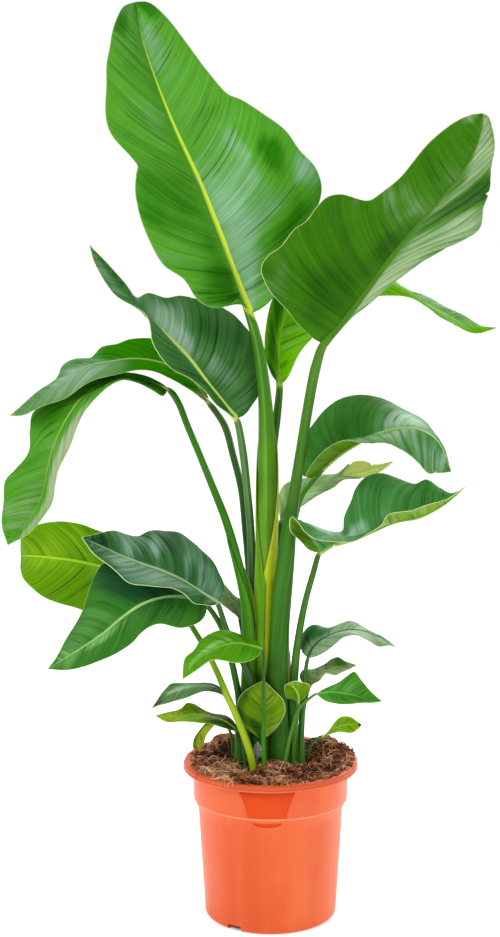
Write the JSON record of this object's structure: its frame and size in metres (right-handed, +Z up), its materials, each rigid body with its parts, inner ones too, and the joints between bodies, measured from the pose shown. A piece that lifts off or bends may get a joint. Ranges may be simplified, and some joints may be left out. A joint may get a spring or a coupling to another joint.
{
  "type": "potted bird of paradise",
  "caption": "Bird of paradise house plant with broad stemmed leaves, without flowers, in a round orange nursery pot filled with peaty soil.",
  "frame": {"origin": "centre of the pot's base, on the plane that the pot stands on", "axes": "+Z up along the pot's axis, -Y the front, +X to the right as seen from the front"},
  "size_m": [0.5881, 0.2353, 1.1],
  "materials": {
    "pot": "satin",
    "soil": "matte",
    "leaf_fresh": "satin",
    "leaf_deep": "satin",
    "leaf_blue": "satin",
    "leaf_olive": "satin",
    "leaf_young": "satin",
    "leaf_dry": "matte"
  },
  "bodies": {
    "root": {"pot": "pot", "soil": "soil", "leaf_tall": "leaf_fresh", "leaf_upper_right": "leaf_deep", "leaf_behind_right": "leaf_olive", "leaf_upper_left": "leaf_blue", "leaf_left_arching": "leaf_deep", "leaf_left_hanging": "leaf_fresh", "leaf_right_arching": "leaf_fresh", "leaf_right_narrow": "leaf_olive", "leaf_right_boat": "leaf_deep", "leaf_left_blue": "leaf_blue", "leaf_left_young": "leaf_young", "leaf_left_pointed": "leaf_fresh", "leaf_small_front": "leaf_young", "leaf_small_left_high": "leaf_deep", "leaf_small_left_low": "leaf_olive", "leaf_small_rim": "leaf_olive", "leaf_small_cupped": "leaf_young", "leaf_small_right": "leaf_deep", "leaf_small_scoop": "leaf_deep", "leaf_small_right_high": "leaf_fresh", "leaf_small_twisted": "leaf_olive", "leaf_small_soil": "leaf_fresh", "leaf_small_hidden": "leaf_olive", "dry_sheath": "leaf_dry"}
  },
  "joints": []
}
